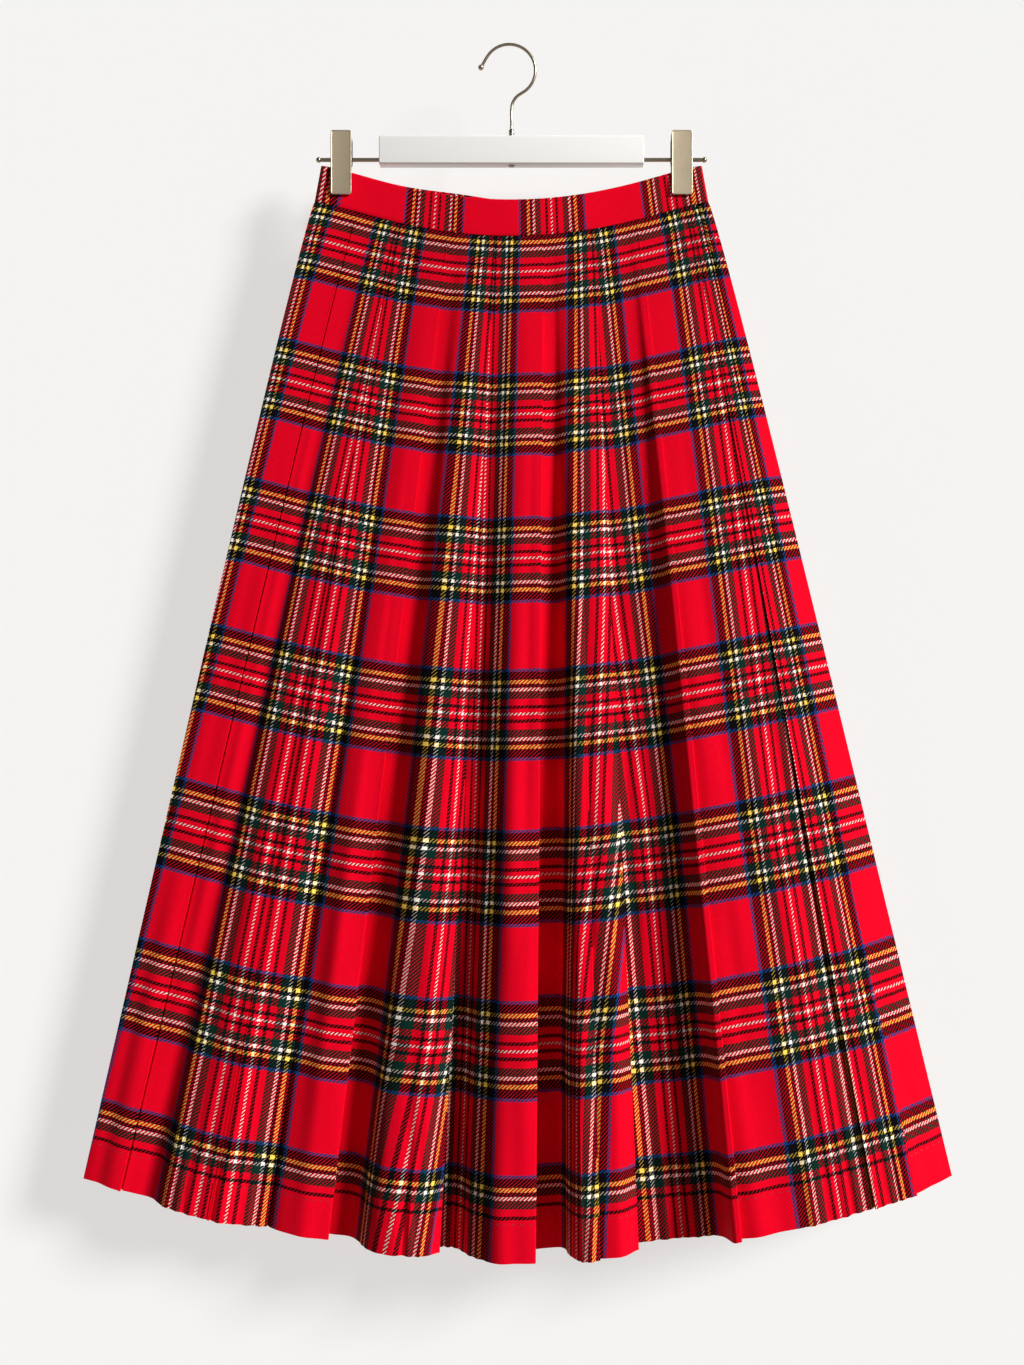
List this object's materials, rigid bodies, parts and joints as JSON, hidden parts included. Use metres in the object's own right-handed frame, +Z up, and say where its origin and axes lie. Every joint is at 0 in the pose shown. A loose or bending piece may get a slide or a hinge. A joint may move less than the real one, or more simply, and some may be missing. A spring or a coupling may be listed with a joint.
{
  "type": "pleated skirt and hanger",
  "caption": "Long flared wool skirt with pressed knife pleats and a plain waistband, hanging from a bar hanger with spring clips.",
  "frame": {"origin": "inside top of the hanger's hook, where a rail or a peg carries it", "axes": "+Z up, +X to the right of someone who faces the front of the skirt, so that the front looks towards -Y"},
  "size_m": [0.781, 0.093, 1.0781],
  "materials": {
    "tartan_cloth": "brushed wool twill tartan, red ground with dark, green, yellow and white lines",
    "band_cloth": "the same wool twill, interfaced",
    "button": "satin dark red resin",
    "white_paint": "satin white lacquer",
    "nickel_wire": "satin nickel",
    "clip_plate": "satin champagne nickel",
    "black_rubber": "matt black"
  },
  "bodies": {
    "root": {"skirt_front": "tartan_cloth", "skirt_back_left": "tartan_cloth", "skirt_back_right": "tartan_cloth", "waistband_front": "band_cloth", "waistband_back": "band_cloth", "waistband_tab": "band_cloth", "waist_button": "button", "hanger_bar": "white_paint", "hanger_rod": "nickel_wire", "hook_wire": "nickel_wire", "hook_ferrule": "nickel_wire", "bar_screw": "nickel_wire", "clip_left_plate_front": "clip_plate", "clip_left_plate_back": "clip_plate", "clip_left_pad_front": "black_rubber", "clip_left_pad_back": "black_rubber", "clip_left_core": "black_rubber", "clip_right_plate_front": "clip_plate", "clip_right_plate_back": "clip_plate", "clip_right_pad_front": "black_rubber", "clip_right_pad_back": "black_rubber", "clip_right_core": "black_rubber"}
  },
  "joints": []
}
